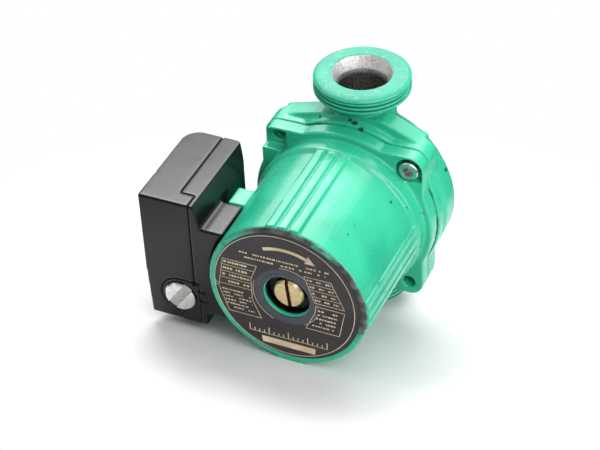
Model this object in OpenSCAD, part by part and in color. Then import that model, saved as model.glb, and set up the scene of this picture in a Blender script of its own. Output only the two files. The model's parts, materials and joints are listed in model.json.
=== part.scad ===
// Domestic wet-rotor circulator pump, in millimetres.
// X: to the right when facing the motor. Y: from the motor's front to the rear. Z: up, along the ports.
// The origin is where the port axis crosses the shaft axis.

/* [Ports] */
// Distance between the two port faces
port_to_port = 130; // [126:2:140]
// Outside radius of the G 1 1/2 union thread on each port
union_r = 23.9; // [23:0.1:24.5]
// Length of the threaded collar
union_len = 8.9; // [8:0.1:10]
// Pitch of the union thread
union_pitch = 2.309; // [2:0.001:2.4]
// Radius of the machined mouth of each port
mouth_r = 14.2; // [13.5:0.1:15]
// Radius of the cast water passage in each port
passage_r = 12.5; // [11.5:0.1:13]

/* [Pump housing] */
// Radius of the round volute
volute_r = 46.5; // [46:0.5:50]
// Distance of the flange joint in front of the port axis
joint_front = 20.4; // [19.5:0.1:21]
// Thickness of the four lugs on the housing side
lug_len = 11; // [9:0.5:12]
// Half width of the square plate that carries the four screws, on both sides of the joint
lug_half = 42.2; // [41.5:0.1:43]
// Corner radius of that square plate
lug_corner = 7.4; // [6:0.2:9]
// Distance of each flange screw from the shaft axis, along X and along Z
bolt_offset = 34.7; // [34:0.1:35]

/* [Motor] */
// Distance of the motor's front face in front of the port axis
motor_front = 96.5; // [95:0.5:100]
// Radius of the motor at its front edge
motor_r = 40.2; // [40:0.1:41]
// Thickness of the motor flange
flange_t = 8; // [7:0.5:9]
// Radius of the round part of the motor flange
flange_r = 46.8; // [46:0.1:47.5]
// Height of the cooling ribs
rib_h = 1.5; // [0.6:0.1:1.6]
// Width of each cooling rib
rib_w = 4.4; // [3.6:0.1:5]
// Angle between neighbouring ribs of a group, in degrees
rib_pitch = 8.4; // [8:0.1:9]
// Radius of the round recess around the vent plug
vent_recess_r = 11.5; // [11:0.1:12]
// Radius of the vent plug's head
plug_r = 8.1; // [7.6:0.1:9]

/* [Rotor] */
// Radius of the shaft
shaft_r = 5; // [4:0.5:6]
// Running gap between the shaft and each bearing
shaft_gap = 0.04; // [0.02:0.01:0.08]
// Radius of the rotor
rotor_r = 18.1; // [17:0.1:18.2]
// Radius of the impeller
impeller_r = 30; // [26:1:33]
// Number of impeller blades
blades = 6; // [5:1:7]

/* [Terminal box] */
// Distance of the box's outer face to the left of the shaft axis
box_left = 76.6; // [75:0.2:78]
// Height of the box's top above the shaft axis
box_top = 37; // [36:0.5:38]
// Depth of the box's bottom below the shaft axis
box_bottom = 36; // [35:0.5:37]
// Distance of the box's front face in front of the port axis
box_front = 92.6; // [92:0.2:94]
// Wall thickness of the box
wall = 2; // [1.6:0.1:2.4]
// Radius of the speed knob
knob_r = 8.2; // [7.6:0.1:8.6]

/* [Hidden] */
face_z = port_to_port / 2;
joint_y = -joint_front;
flange_y = joint_y - flange_t;
front_y = -motor_front;
$fn = 56;
// Terminal box planes
box_x0 = -box_left;
box_x1 = -45;
box_y0 = -box_front;
box_y1 = -37.5;
part_x = -57.9;
part_front_x = -50.4;
knob_x = -58.8;
knob_z = -20.9;
neck_top = 24.5;
neck_bottom = -28;
neck_rear = -69;
// Captive screw of the cover
screw_y = -62;
screw_z = 26;
// Axis of the cable gland
gland_x = -54;
gland_y = -56;
// Screws that fix the box to the motor
fixing_y = -81;
fixing_z = [-18, 16];
// Heights of the three terminals
terminal_z = [11, 19, 27];
// Axis of the capacitor
cap_x = -66;
cap_y = -50;
cap_r = 8.3;
// Growth of the motor's radius from its front to its flange
motor_taper = 1.1;
// Angle of the top rib group, in degrees from +X towards +Z
rib_turn = 91;
// Bore that holds the stator, and the seat of the bearing plate
stator_bore_r = 37.4;
plate_seat_r = 41.4;
// Outside radius of both bearings
bearing_r = 9;
// Rear corner radii of the box, on its left and on its right
box_corner_left = 9;
box_corner_right = 7;
// Colours
green = [0.16, 0.72, 0.55];
black = [0.09, 0.09, 0.10];
steel = [0.75, 0.76, 0.78];
brass = [0.80, 0.65, 0.35];
copper = [0.72, 0.40, 0.22];
rubber = [0.13, 0.13, 0.13];
dark = [0.25, 0.24, 0.25];
pale = [0.86, 0.85, 0.80];

// Cylinder along Y from y0 to y1, radius ra at y0 and rb at y1
module along_y(y0, y1, ra, rb) {
    translate([0, y0, 0])
        rotate([-90, 0, 0])
            cylinder(h = y1 - y0, r1 = ra, r2 = rb);
}

// Tube along Y
module tube_y(y0, y1, ro, ri) {
    difference() {
        along_y(y0, y1, ro, ro);
        along_y(y0 - 1, y1 + 1, ri, ri);
    }
}

// Cylinder along Z from z0 to z1 at (x, y)
module along_z(x, y, z0, z1, r) {
    translate([x, y, z0])
        cylinder(h = z1 - z0, r = r);
}

// Box between two corners
module block(a, b) {
    translate(a)
        cube(b - a);
}

// Square plate with rounded corners across the shaft, from y0 to y1
module corner_plate(y0, y1, half, corner) {
    block([-half, y0, corner - half], [half, y1, half - corner]);
    block([corner - half, y0, -half], [half - corner, y1, half]);
    for (sx = [-1, 1])
        for (sz = [-1, 1])
            translate([sx * (half - corner), 0, sz * (half - corner)])
                along_y(y0, y1, corner, corner);
}

// Positions of the four flange screws, first upper right, then counter-clockwise seen from the motor
function bolt_at(i) = [i == 0 || i == 3 ? bolt_offset : -bolt_offset, i < 2 ? bolt_offset : -bolt_offset];

// Solid of the threaded collar on the upper port: rounded crown, then thread crests
module union_collar() {
    z1 = face_z;
    z0 = face_z - union_len;
    root_r = union_r - 1.3;
    rotate_extrude($fn = 64)
        polygon(concat(
            [[0, z0], [root_r, z0], [union_r, z0 + 0.5]],
            [for (k = [0:2])
                for (s = [0:3])
                    [s == 0 || s == 3 ? union_r : root_r,
                     z0 + 0.55 + k * union_pitch + [0.75, 1.45, 1.75, 2.3][s]]],
            [[union_r, z1 - 1.8], [union_r - 0.4, z1 - 1.3], [union_r - 1.5, z1 - 0.5],
             [union_r - 3.4, z1], [0, z1]]));
}

// Machined mouth and cast passage of the upper port
module port_passage(depth) {
    along_z(0, 0, face_z - depth, face_z + 1, passage_r);
    translate([0, 0, face_z - 4])
        cylinder(h = 4.01, r1 = passage_r, r2 = mouth_r);
    along_z(0, 0, face_z - 0.01, face_z + 1, mouth_r);
}

// Sloping shoulder that joins the upper neck to the two upper lugs
module shoulder() {
    translate([0, -5, 0])
        rotate([90, 0, 0])
            linear_extrude(height = 11)
                polygon([[-37, 41.6], [-16, 47.6], [16, 50.4], [36.5, 41.6], [36.5, 20], [-37, 20]]);
}

module pump_housing() {
    color(green)
        difference() {
            union() {
                // Round volute with a rounded rear edge
                rotate([-90, 0, 0])
                    rotate_extrude($fn = 72)
                        union() {
                            translate([0, joint_y])
                                square([volute_r, 18.4]);
                            translate([0, joint_y])
                                square([volute_r - 12, 30.4]);
                            translate([volute_r - 12, -2])
                                circle(r = 12, $fn = 40);
                        }
                // The volute grows towards the upper right
                translate([2.6, 0, 2.8])
                    along_y(joint_y + 6, -3, volute_r + 0.2, volute_r + 0.2);
                translate([2.6, 0, 2.8])
                    along_y(-3, 3, volute_r + 0.2, volute_r - 4);
                // Shoulders from each neck to the lugs
                shoulder();
                mirror([0, 0, 1])
                    shoulder();
                // Flange and lugs
                along_y(joint_y + 0.6, joint_y + 8.5, volute_r + 1.4, volute_r + 1.4);
                along_y(joint_y, joint_y + 0.6, volute_r + 0.6, volute_r + 1.4);
                corner_plate(joint_y, joint_y + lug_len, lug_half, lug_corner);
                // Rear bulge over the suction passage
                along_z(0, 8, -56, 5, 14);
                translate([0, 8, 5])
                    sphere(r = 14);
                // Necks and collars
                along_z(0, 0, -face_z + union_len - 0.5, face_z - union_len + 0.5, 16.5);
                union_collar();
                mirror([0, 0, 1])
                    union_collar();
            }
            // Impeller chamber, bearing plate seat and wear ring seat
            along_y(joint_y - 1, -4.5, 38, 38);
            along_y(joint_y - 1, joint_y + 1.3, plate_seat_r, plate_seat_r);
            along_y(-4.6, -0.5, 15, 15);
            // Suction passage: lower port, rear riser, eye
            mirror([0, 0, 1])
                port_passage(19);
            along_z(0, 8, -52, 0, 10.5);
            translate([0, 8, 0])
                sphere(r = 10.5);
            along_y(-0.6, 8, 11, 10.3);
            // Outlet passage: chamber to upper port
            port_passage(23);
            along_z(0, -11.5, 30, 46, 7);
            // Threaded screw holes
            for (i = [0:3])
                translate([bolt_at(i)[0], 0, bolt_at(i)[1]])
                    along_y(joint_y - 1, joint_y + 9, 3, 3);
        }
}

module housing_seal() {
    color(rubber)
        tube_y(joint_y + 0.2, joint_y + 1.3, 41.2, 38.6);
}

module wear_ring() {
    color(steel)
        tube_y(-4.5, -0.5, 15, 12.9);
}

// One curved blade, drawn looking along the shaft
module blade_2d() {
    intersection() {
        difference() {
            translate([-9, 16])
                circle(r = 19, $fn = 40);
            translate([-9, 16])
                circle(r = 17.6, $fn = 40);
        }
        difference() {
            circle(r = impeller_r - 0.4);
            circle(r = 7);
        }
        translate([-6, -4])
            square([40, 30]);
    }
}

module impeller() {
    color(dark)
        difference() {
            union() {
                along_y(-19.3, -17.7, impeller_r, impeller_r);
                along_y(-19.3, -9.2, 8, 8);
                tube_y(-9.4, -7.6, impeller_r, 11.2);
                tube_y(-7.8, -2.4, 12.6, 11.2);
                for (i = [0:blades - 1])
                    rotate([90, i * 360 / blades, 0])
                        translate([0, 0, 9.3])
                            linear_extrude(height = 8.7)
                                blade_2d();
            }
            along_y(-20, -8, shaft_r, shaft_r);
        }
}

module impeller_clip() {
    color(steel)
        tube_y(-9.1, -8.1, 7, shaft_r - 0.5);
}

module rotor_shaft() {
    color(steel)
        difference() {
            union() {
                along_y(-79, -7, shaft_r, shaft_r);
                along_y(-7, -6, shaft_r, shaft_r - 1);
            }
            // Water bore through the hollow shaft
            along_y(-80, -5, 1.5, 1.5);
            // Groove of the clip
            tube_y(-9.1, -8.1, shaft_r + 1, shaft_r - 0.5);
        }
}

module rotor_core() {
    color(steel)
        difference() {
            union() {
                along_y(-65.5, -39, rotor_r, rotor_r);
                along_y(-66.5, -65.5, rotor_r - 1, rotor_r);
                along_y(-39, -38, rotor_r, rotor_r - 1);
            }
            along_y(-67, -37, shaft_r, shaft_r);
        }
}

module thrust_ring() {
    color(dark)
        tube_y(-70, -67.7, 8.6, shaft_r);
}

module thrust_cushion() {
    color(rubber)
        tube_y(-67.7, -66.5, 8.2, shaft_r);
}

module front_bearing() {
    color(dark)
        tube_y(-80, -70.3, bearing_r, shaft_r + shaft_gap);
}

module rear_bearing() {
    color(dark)
        tube_y(-33.5, -22.5, bearing_r, shaft_r + shaft_gap);
}

module bearing_plate() {
    color(steel)
        difference() {
            union() {
                along_y(joint_y - 1.2, joint_y + 0.2, 41.2, 41.2);
                along_y(-34.5, joint_y, 11, 11);
            }
            along_y(-33.5, joint_y + 1, bearing_r, bearing_r);
            along_y(-35, -33, 6.5, 6.5);
            // Water holes
            for (a = [0:90:270])
                rotate([0, a + 45, 0])
                    translate([14.5, 0, 0])
                        along_y(joint_y - 2, joint_y + 1, 1.5, 1.5);
        }
}

module stator_can() {
    color(steel)
        difference() {
            union() {
                along_y(-85, -23.5, 19, 19);
                along_y(-24.2, -23.4, 25, 25);
                along_y(-90.5, -84, 11.2, 11.2);
            }
            along_y(-84.2, -22, 18.6, 18.6);
            // Thread of the vent plug
            along_y(-91, -78, 7, 7);
        }
    // Sleeve that holds the front bearing
    color(steel)
        difference() {
            along_y(-84.2, -70.3, 10.6, 10.6);
            along_y(-80, -70, bearing_r, bearing_r);
            along_y(-85, -79, 7, 7);
        }
}

module can_seal() {
    color(rubber)
        tube_y(-23.4, joint_y - 1.2, 24, 20.4);
}

module stator_core() {
    color(steel)
        tube_y(-69, -37, stator_bore_r, 19.1);
}

module stator_windings() {
    color(copper)
        union() {
            rotate([-90, 0, 0])
                rotate_extrude()
                    union() {
                        translate([28, -75])
                            circle(r = 5.9, $fn = 24);
                        translate([22.1, -75])
                            square([11.8, 6]);
                    }
            rotate([-90, 0, 0])
                rotate_extrude()
                    union() {
                        translate([28, -31])
                            circle(r = 5.9, $fn = 24);
                        translate([22.1, -37])
                            square([11.8, 6]);
                    }
        }
}

// One group of three cooling ribs, centred on +X
module rib_group() {
    for (a = [-rib_pitch, 0, rib_pitch])
        rotate([0, a, 0])
            intersection() {
                block([motor_r - 3, front_y + 0.4, -rib_w / 2], [motor_r + 3, flange_y - 6, rib_w / 2]);
                along_y(front_y + 0.4, flange_y - 6, motor_r + rib_h, motor_r + motor_taper + rib_h * 0.75);
            }
}

module motor_housing() {
    color(green)
        difference() {
            union() {
                along_y(front_y, front_y + 1, motor_r - 0.8, motor_r);
                along_y(front_y + 1, flange_y, motor_r, motor_r + motor_taper);
                along_y(flange_y - 7.5, flange_y, 43, 43);
                along_y(flange_y - 9, flange_y - 7.5, motor_r + 1, 43);
                along_y(flange_y + 0.8, joint_y - 0.5, flange_r, flange_r);
                along_y(flange_y, flange_y + 0.8, flange_r - 0.8, flange_r);
                along_y(joint_y - 0.5, joint_y, flange_r, flange_r - 0.5);
                corner_plate(flange_y, joint_y, lug_half, lug_corner);
                for (a = [0:90:180])
                    rotate([0, a - rib_turn, 0])
                        rib_group();
                // Cast boss behind the neck of the terminal box
                block([-41.6, neck_rear + 0.2, -20], [-30, -56.5, neck_top]);
            }
            // Bore for the stator
            along_y(-91.5, joint_y + 1, stator_bore_r, stator_bore_r);
            along_y(joint_y - 1.2, joint_y + 1, plate_seat_r, plate_seat_r);
            // Seat of the name plate and the vent recess
            along_y(front_y - 1, front_y + 0.6, 37.3, 37.3);
            along_y(front_y - 1, -91, vent_recess_r, vent_recess_r);
            // Screw holes and pockets
            for (i = [0:3])
                translate([bolt_at(i)[0], 0, bolt_at(i)[1]])
                    along_y(flange_y - 1, joint_y + 1, 3.3, 3.3);
            for (turn = [0, 180])
                rotate([0, turn, 0])
                    union() {
                        translate([bolt_offset, 0, bolt_offset])
                            along_y(flange_y - 8, flange_y + 5.1, 6.4, 6.4);
                        block([bolt_offset, flange_y - 8, bolt_offset - 6.1],
                            [bolt_offset + 6.3, flange_y + 5.1, bolt_offset]);
                    }
            block([-46, flange_y - 6, 28.8], [-28.8, flange_y + 5.1, 40.8]);
            // Wire passage and screw holes behind the neck
            block([-46, -88, -8], [-30, -74, 8]);
            for (z = fixing_z)
                translate([-50, fixing_y, z])
                    rotate([0, 90, 0])
                        cylinder(h = 20, r = 1.6, $fn = 24);
            // Round dimple in the front rim beside the neck
            translate([-32.6, front_y - 0.1, 23.6])
                rotate([-90, 0, 0])
                    cylinder(h = 1.5, r = 2.6, $fn = 32);
        }
}

module name_plate() {
    color(dark)
        difference() {
            union() {
                along_y(front_y + 0.1, front_y + 0.6, 37.1, 37.1);
                along_y(front_y - 0.15, front_y + 0.6, 14, 14);
            }
            along_y(front_y - 2, front_y + 2, vent_recess_r + 0.5, vent_recess_r + 0.5);
            translate([-37.6, front_y - 1, -2.1])
                rotate([-90, 0, 0])
                    cylinder(h = 3, r = 2.2, $fn = 32);
        }
}

module vent_plug() {
    color(brass)
        difference() {
            union() {
                along_y(front_y + 2, front_y + 3.2, plug_r - 1.2, plug_r);
                along_y(front_y + 3.2, -91.3, plug_r, plug_r);
                along_y(-91.3, -80.5, 6.92, 6.92);
            }
            rotate([0, -6, 0])
                block([-0.9, front_y - 2, -20], [0.9, front_y + 4.2, 20]);
        }
}

module vent_plug_seal() {
    color(rubber)
        tube_y(-91.3, -90.5, 8, 6.95);
}

// Socket-head screws in the upper right and lower left lugs
module flange_screws() {
    color(steel)
        for (i = [0, 2])
            translate([bolt_at(i)[0], 0, bolt_at(i)[1]])
                difference() {
                    union() {
                        along_y(flange_y - 0.9, flange_y - 0.3, 4.5, 5);
                        along_y(flange_y - 0.3, flange_y + 5.1, 5, 5);
                        along_y(flange_y + 5.1, joint_y + 8, 2.92, 2.92);
                    }
                    translate([0, flange_y - 2, 0])
                        rotate([-90, 0, 0])
                            cylinder(h = 4.2, r = 2.9, $fn = 6);
                }
}

// Outline of the box seen from above, inset by d
module box_plan(d) {
    union() {
        translate([box_x0 + d, box_y0 + d])
            square([box_x1 - box_x0 - 2 * d, box_y1 - box_y0 - box_corner_left - d]);
        translate([box_x0 + box_corner_left, box_y0 + d])
            square([box_x1 - box_x0 - box_corner_left - box_corner_right, box_y1 - box_y0 - 2 * d]);
        translate([box_x0 + box_corner_left, box_y1 - box_corner_left])
            circle(r = box_corner_left - d, $fn = 48);
        translate([box_x1 - box_corner_right, box_y1 - box_corner_right])
            circle(r = box_corner_right - d, $fn = 40);
    }
}

// Outline of the box seen from the front, inset by d
module box_profile(d) {
    polygon([[box_x0 + 1.4 + d, -box_bottom + d], [box_x0 + 0.2 + d, -10], [box_x0 + 0.2 + d, -9.4],
        [box_x0 - 0.8 + d, -8.8], [box_x0 + d, box_top - d], [-48.2 - d, box_top - d],
        [box_x1 - d, neck_top - d], [box_x1 - d, -box_bottom + d]]);
}

module box_solid(d) {
    intersection() {
        translate([0, 0, -60])
            linear_extrude(height = 120)
                box_plan(d);
        rotate([90, 0, 0])
            translate([0, 0, 20])
                linear_extrude(height = 90)
                    box_profile(d);
    }
}

// The room taken by the cover: everything left of the stepped parting surface
module cover_room(g) {
    block([-90, -100, -50], [part_x - g, -30, 50]);
    block([-90, -100, -50], [part_front_x - g, -84 - g, 50]);
}

// Room of the speed switch plate in the cover's front wall
module switch_room(g) {
    translate([knob_x, box_y0 - 1, knob_z])
        rotate([-90, 0, 0])
            cylinder(h = 6, r = 10 + g);
    block([knob_x, box_y0 - 1, -40], [part_front_x + 2, box_y0 + 5, -10.9 + g]);
}

// Threaded post that the cover's screw enters, and its bore
module cover_post() {
    translate([-60.5, screw_y, screw_z])
        rotate([0, 90, 0])
            difference() {
                cylinder(h = 13.7, r = 3.6, $fn = 40);
                translate([0, 0, -1])
                    cylinder(h = 9.5, r = 2, $fn = 32);
            }
}

module terminal_box_base() {
    color(black) {
        base_shell();
        cover_post();
    }
}

// Shell of the box's base with its neck, before the post
module base_shell() {
    difference() {
        union() {
            difference() {
                box_solid(0);
                cover_room(0);
            }
            // Neck that carries the box on the motor
            difference() {
                block([box_x1 - 1, box_y0, neck_bottom], [-26, neck_rear, neck_top]);
                along_y(box_y0 - 1, neck_rear + 1, motor_r + 1, motor_r + 1);
            }
            // Round boss for the cable gland
            along_z(gland_x, gland_y, -39, -30, 9.4);
        }
        box_solid(wall);
        along_z(gland_x, gland_y, -50, -30, 7.6);
        gasket_groove(0.02);
        // Wire passage through the neck
        block([-49, -88, -8], [-20, -74, 8]);
        for (z = fixing_z)
            translate([-50, fixing_y, z])
                rotate([0, 90, 0])
                    cylinder(h = 20, r = 1.7, $fn = 24);
        // Room for the switch plate
        block([-60, box_y0 - 1, -37], [part_front_x + 2, box_y0 + wall + 0.5, -10.9]);
    }
}

module neck_gasket() {
    color(rubber)
        difference() {
            along_y(-90, -71.5, motor_r + 1, motor_r + 1);
            along_y(-91, -70, motor_r + 0.75, motor_r + 0.75);
            block([-60, -92, 12], [60, -70, 60]);
            block([-60, -92, -60], [60, -70, -12]);
            block([-30, -92, -60], [60, -70, 60]);
            block([-46, -88, -8], [-30, -74, 8]);
        }
}

module box_fixing_screws() {
    color(steel)
        for (z = fixing_z)
            translate([0, fixing_y, z])
                rotate([0, 90, 0])
                    union() {
                        translate([0, 0, -49.2])
                            cylinder(h = 2.2, r = 3, $fn = 32);
                        translate([0, 0, -48])
                            cylinder(h = 15, r = 1.5, $fn = 24);
                    }
}

module terminal_box_cover() {
    color(black)
        difference() {
            union() {
                difference() {
                    intersection() {
                        box_solid(0);
                        cover_room(0.15);
                    }
                    box_solid(wall);
                }
                // Boss inside the outer face for the captive screw
                translate([box_x0 + 1, screw_y, screw_z])
                    rotate([0, 90, 0])
                        cylinder(h = 4.2, r = 5.6, $fn = 40);
            }
            switch_room(0.2);
            // Hole and head recess of the captive screw
            translate([-90, screw_y, screw_z])
                rotate([0, 90, 0])
                    cylinder(h = 30, r = 2.2, $fn = 32);
            translate([-90, screw_y, screw_z])
                rotate([0, 90, 0])
                    cylinder(h = 15.9, r = 4.2, $fn = 32);
            // Room for the gland boss
            along_z(gland_x, gland_y, -50, -30, 9.7);
            // Small notch at the top left edge
            block([-80, -75, 35.8], [-76, -73.4, 40]);
        }
}

// Groove for the cord seal in the rim of the base: along the top, the rear and the bottom
module gasket_groove(g) {
    difference() {
        union() {
            block([part_x - g, -83.5 - g, box_top - 1.5 - g],
                [part_x + 0.9 + g, box_y1 - 0.5 + g, box_top - 0.5 + g]);
            block([part_x - g, box_y1 - 1.5 - g, -box_bottom + 0.5 - g],
                [part_x + 0.9 + g, box_y1 - 0.5 + g, box_top - 0.5 + g]);
            block([part_x - g, -83.5 - g, -box_bottom + 0.5 - g],
                [part_x + 0.9 + g, box_y1 - 0.5 + g, -box_bottom + 1.5 + g]);
        }
        along_z(gland_x, gland_y, -50, -30, 9.6 - g);
    }
}

module cover_gasket() {
    color(rubber)
        gasket_groove(0);
}

module cover_screw() {
    color(steel)
        translate([0, screw_y, screw_z])
            rotate([0, 90, 0])
                difference() {
                    union() {
                        translate([0, 0, -75.8])
                            cylinder(h = 1.6, r = 3.8, $fn = 32);
                        translate([0, 0, -74.5])
                            cylinder(h = 21, r = 1.9, $fn = 32);
                    }
                    translate([-4, -0.4, -76])
                        cube([8, 0.8, 1.1]);
                }
}

module speed_switch_plate() {
    color(black)
        difference() {
            union() {
                translate([knob_x, box_y0 + 0.2, knob_z])
                    rotate([-90, 0, 0])
                        cylinder(h = 2, r = 10);
                block([knob_x, box_y0 + 0.2, -box_bottom], [part_front_x + 1.9, box_y0 + 2.2, -11]);
            }
            translate([knob_x, box_y0 - 1, knob_z])
                rotate([-90, 0, 0])
                    cylinder(h = 6, r = knob_r + 0.3);
        }
}

module speed_knob() {
    color(steel)
        difference() {
            translate([knob_x, 0, knob_z])
                union() {
                    along_y(box_y0 - 1.3, box_y0 - 0.5, knob_r - 0.8, knob_r);
                    along_y(box_y0 - 0.5, box_y0 + 3.4, knob_r, knob_r);
                    along_y(box_y0 + 3.4, box_y0 + 9, 3, 3);
                }
            translate([knob_x, 0, knob_z])
                rotate([0, -55, 0])
                    block([-12, box_y0 - 3, -2.4], [12, box_y0 + 0.1, 2.4]);
        }
}

module knob_seal() {
    color(rubber)
        translate([knob_x, 0, knob_z])
            tube_y(box_y0 + 4, box_y0 + 5.4, 5, 3.05);
}

module speed_switch_body() {
    color(pale)
        difference() {
            block([-67, box_y0 + 5.4, -32], [-50.6, -76, -9.5]);
            translate([knob_x, 0, knob_z])
                along_y(box_y0, box_y0 + 9.5, 3.05, 3.05);
        }
}

module terminal_block() {
    color(pale)
        difference() {
            union() {
                block([-70, -87, 6], [-51, -66, 32]);
                block([-52, -84, 19.6], [box_x1 - wall, -70, 22.4]);
            }
            for (z = terminal_z)
                translate([-71, -80, z])
                    rotate([0, 90, 0])
                        cylinder(h = 8, r = 2.2, $fn = 24);
            for (z = terminal_z)
                block([-68, -70, z - 1.8], [-60, -65, z + 1.8]);
        }
}

module terminal_screws() {
    color(brass)
        for (z = terminal_z)
            translate([0, -80, z])
                rotate([0, 90, 0])
                    difference() {
                        translate([0, 0, -69.4])
                            cylinder(h = 6.2, r = 2, $fn = 24);
                        translate([-3, -0.3, -70])
                            cube([6, 0.6, 1.4]);
                    }
}

module earth_stud() {
    color(brass)
        translate([0, -72, -18])
            rotate([0, 90, 0])
                union() {
                    translate([0, 0, -56])
                        cylinder(h = 3, r = 3.4, $fn = 6);
                    translate([0, 0, -58])
                        cylinder(h = 11, r = 1.9, $fn = 24);
                }
}

module capacitor() {
    color(pale)
        union() {
            along_z(cap_x, cap_y, -10, 28, cap_r);
            along_z(cap_x, cap_y, 27.8, 29.2, cap_r - 0.9);
        }
}

module capacitor_clip() {
    color(steel)
        difference() {
            union() {
                along_z(cap_x, cap_y, 6, 11, cap_r + 0.7);
                block([-58, -52, 6], [box_x1 - wall, -48, 11]);
            }
            along_z(cap_x, cap_y, 5, 12, cap_r);
            block([-80, -60, 5], [-69, -40, 12]);
        }
}

// Three insulated leads from the windings to the terminal space
module stator_leads() {
    color(copper)
        for (i = [-1:1])
            union() {
                translate([-53, -81, i * 4])
                    rotate([0, 90, 0])
                        cylinder(h = 18.7, r = 1.2, $fn = 16);
                translate([-53, -81, i * 4])
                    sphere(r = 1.2, $fn = 16);
                translate([-53, -81, i * 4])
                    rotate([90, 0, 0])
                        cylinder(h = 5, r = 1.2, $fn = 16);
            }
}

module gland_body() {
    color(black)
        difference() {
            union() {
                along_z(gland_x, gland_y, -46, -39, 7);
                along_z(gland_x, gland_y, -39, -31, 7.5);
                translate([gland_x, gland_y, -41.5])
                    cylinder(h = 2.5, r = 10, $fn = 6);
            }
            along_z(gland_x, gland_y, -50, -30, 5.4);
        }
}

module gland_seal() {
    color(rubber)
        difference() {
            along_z(gland_x, gland_y, -46, -36, 5.3);
            along_z(gland_x, gland_y, -50, -30, 3.6);
        }
}

module gland_nut() {
    color(black)
        difference() {
            union() {
                translate([gland_x, gland_y, -47.5])
                    cylinder(h = 5, r = 10, $fn = 6);
                along_z(gland_x, gland_y, -49, -47, 7.6);
            }
            along_z(gland_x, gland_y, -46.2, -40, 7.05);
            along_z(gland_x, gland_y, -50, -40, 4.2);
        }
}

pump_housing();
housing_seal();
wear_ring();
impeller();
impeller_clip();
rotor_shaft();
rotor_core();
thrust_ring();
thrust_cushion();
front_bearing();
rear_bearing();
bearing_plate();
stator_can();
can_seal();
stator_core();
stator_windings();
motor_housing();
name_plate();
vent_plug();
vent_plug_seal();
flange_screws();
terminal_box_base();
neck_gasket();
box_fixing_screws();
terminal_box_cover();
cover_gasket();
cover_screw();
speed_switch_plate();
speed_knob();
knob_seal();
speed_switch_body();
terminal_block();
terminal_screws();
earth_stud();
capacitor();
capacitor_clip();
stator_leads();
gland_body();
gland_seal();
gland_nut();
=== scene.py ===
import json
import math
import random

import bmesh
import bpy
import numpy as np
from mathutils import Matrix, Vector

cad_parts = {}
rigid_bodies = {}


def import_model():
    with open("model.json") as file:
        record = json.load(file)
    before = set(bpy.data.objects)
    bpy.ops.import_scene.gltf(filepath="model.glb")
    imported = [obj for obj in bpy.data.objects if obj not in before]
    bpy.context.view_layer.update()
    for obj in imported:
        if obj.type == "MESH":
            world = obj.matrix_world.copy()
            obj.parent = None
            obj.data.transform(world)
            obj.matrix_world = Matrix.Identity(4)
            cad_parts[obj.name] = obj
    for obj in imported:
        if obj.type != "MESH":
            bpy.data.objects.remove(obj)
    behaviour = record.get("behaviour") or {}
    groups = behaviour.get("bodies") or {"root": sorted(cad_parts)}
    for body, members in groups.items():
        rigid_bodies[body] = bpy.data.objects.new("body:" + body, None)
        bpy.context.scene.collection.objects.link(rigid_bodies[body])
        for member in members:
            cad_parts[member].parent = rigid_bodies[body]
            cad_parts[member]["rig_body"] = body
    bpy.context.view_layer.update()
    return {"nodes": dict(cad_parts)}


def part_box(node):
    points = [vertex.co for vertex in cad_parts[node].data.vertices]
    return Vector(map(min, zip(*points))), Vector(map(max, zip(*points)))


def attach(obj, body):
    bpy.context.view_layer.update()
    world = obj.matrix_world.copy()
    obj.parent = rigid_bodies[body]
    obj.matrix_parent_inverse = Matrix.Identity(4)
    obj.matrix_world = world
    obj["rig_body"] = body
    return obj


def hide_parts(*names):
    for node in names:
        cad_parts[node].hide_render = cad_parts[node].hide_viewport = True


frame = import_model()

MM = 0.001
random.seed(11)

# Main sizes, read from the CAD frame, in metres
FACE_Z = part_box("pump_housing")[1].z
FRONT_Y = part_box("motor_housing")[0].y
LABEL_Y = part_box("name_plate")[0].y + 0.25 * MM
PLUG_FACE_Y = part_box("vent_plug")[0].y
BOX_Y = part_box("terminal_box_base")[0].y
KNOB_LOW, KNOB_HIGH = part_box("speed_knob")
KNOB = (KNOB_LOW + KNOB_HIGH) / 2

# Joint between the pump housing and the motor, and the cover screw's line as (y, z) in millimetres
JOINT_Y = -20.4 * MM
COVER_SCREW = (-62.0, 26.0)

# Collar of each port
UNION_R = 23.9 * MM
UNION_LEN = 8.9 * MM
PITCH = 2.309 * MM
MOUTH_R = 14.2 * MM
PASSAGE_R = 12.5 * MM


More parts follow.
